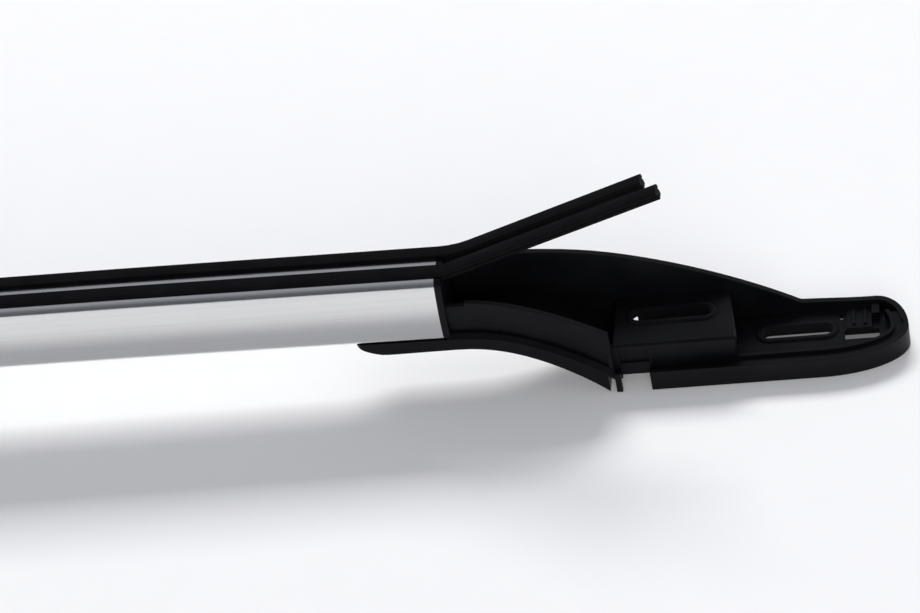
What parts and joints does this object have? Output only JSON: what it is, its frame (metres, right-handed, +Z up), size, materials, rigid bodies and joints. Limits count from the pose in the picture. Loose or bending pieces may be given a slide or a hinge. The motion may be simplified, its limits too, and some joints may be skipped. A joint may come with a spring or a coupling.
{
  "type": "roof side rail pair",
  "caption": "Pair of arched aluminium roof rails with black moulded feet, rubber top strips and slotted bolt holes; one end has its clip-on cover off and its strips pulled up.",
  "frame": {"origin": "centre of the pair on the plane of the feet's undersides", "axes": "+X towards the front of the roof, along the rails; +Y to the left of the roof; +Z up"},
  "size_m": [1.605, 1.054, 0.1128],
  "materials": {
    "rail_metal": "bright anodised",
    "strip_rubber": "smooth extruded",
    "foot_plastic": "fine grained moulding",
    "trim_plastic": "satin moulding",
    "cover_plastic": "fine grained moulding",
    "screw_steel": "zinc plated",
    "pad_foam": "closed-cell foam"
  },
  "bodies": {
    "root": {"right_rail": "rail_metal", "right_outer_strip": "strip_rubber", "right_inner_strip": "strip_rubber", "right_front_foot": "foot_plastic", "right_front_under_trim": "trim_plastic", "right_front_screws": "screw_steel", "right_front_pad": "pad_foam", "right_rear_foot": "foot_plastic", "right_rear_under_trim": "trim_plastic", "right_rear_screws": "screw_steel", "right_rear_pad": "pad_foam", "right_rear_cover": "cover_plastic", "left_rail": "rail_metal", "left_outer_strip": "strip_rubber", "left_inner_strip": "strip_rubber", "left_front_foot": "foot_plastic", "left_front_under_trim": "trim_plastic", "left_front_screws": "screw_steel", "left_front_pad": "pad_foam", "left_front_cover": "cover_plastic", "left_rear_foot": "foot_plastic", "left_rear_under_trim": "trim_plastic", "left_rear_screws": "screw_steel", "left_rear_pad": "pad_foam", "left_rear_cover": "cover_plastic"}
  },
  "joints": []
}
